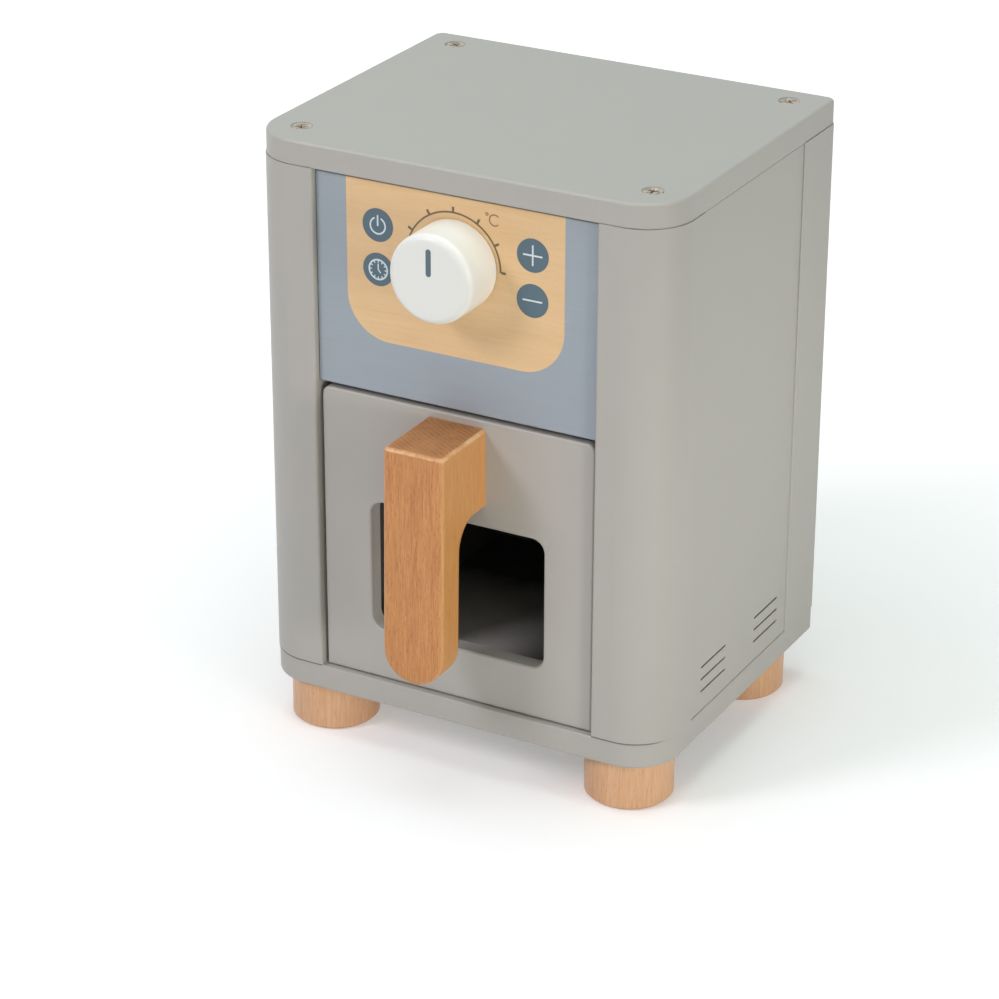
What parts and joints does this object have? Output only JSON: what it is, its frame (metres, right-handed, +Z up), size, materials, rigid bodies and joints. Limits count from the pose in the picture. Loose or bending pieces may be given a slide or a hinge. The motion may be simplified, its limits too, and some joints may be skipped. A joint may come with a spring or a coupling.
{
  "type": "toy air fryer",
  "caption": "Play kitchen air fryer: painted wooden casing on round feet, pull-out drawer with a window and a wooden handle, and a turning knob.",
  "frame": {"origin": "on the floor, under the middle of the whole toy's box, handle included", "axes": "+Z up, -Y towards the front with the drawer and the knob, +X to the right seen from the front"},
  "size_m": [0.1636, 0.1641, 0.23],
  "materials": {
    "grey_paint": "satin water-based paint on smooth board",
    "slate_paint": "satin slate paint round a clear-coated light wood field",
    "beech": "clear satin lacquer, straight grain with dark flecks",
    "dowel_wood": "plain hardwood dowel",
    "white_paint": "satin white paint",
    "screw_steel": "yellow zinc plated",
    "felt": "dense felt"
  },
  "bodies": {
    "casing": {"top_panel": "grey_paint", "bottom_panel": "grey_paint", "front_left_post": "grey_paint", "front_right_post": "grey_paint", "rear_left_post": "grey_paint", "rear_right_post": "grey_paint", "left_side_panel": "grey_paint", "right_side_panel": "grey_paint", "back_panel": "grey_paint", "control_panel": "slate_paint", "foot_front_left": "beech", "foot_front_right": "beech", "foot_rear_left": "beech", "foot_rear_right": "beech", "top_screws": "screw_steel", "foot_screws": "screw_steel", "back_panel_screws": "screw_steel"},
    "dial": {"knob": "white_paint", "knob_axle": "dowel_wood", "knob_felt_washer": "felt", "knob_collar": "dowel_wood", "knob_collar_screw": "screw_steel"},
    "drawer": {"drawer_front": "grey_paint", "drawer_left_side": "grey_paint", "drawer_right_side": "grey_paint", "drawer_back": "grey_paint", "drawer_floor": "grey_paint", "handle": "beech", "handle_screws": "screw_steel"}
  },
  "joints": [
    {"name": "drawer_slide", "type": "slide", "parent": "casing", "child": "drawer", "axis": [0, -1, 0], "range_m": [0, 0.105]},
    {"name": "knob_turn", "type": "hinge", "parent": "casing", "child": "dial", "pos_m": [0, -0.0501, 0.1957], "axis": [0, 1, 0], "continuous": true}
  ]
}
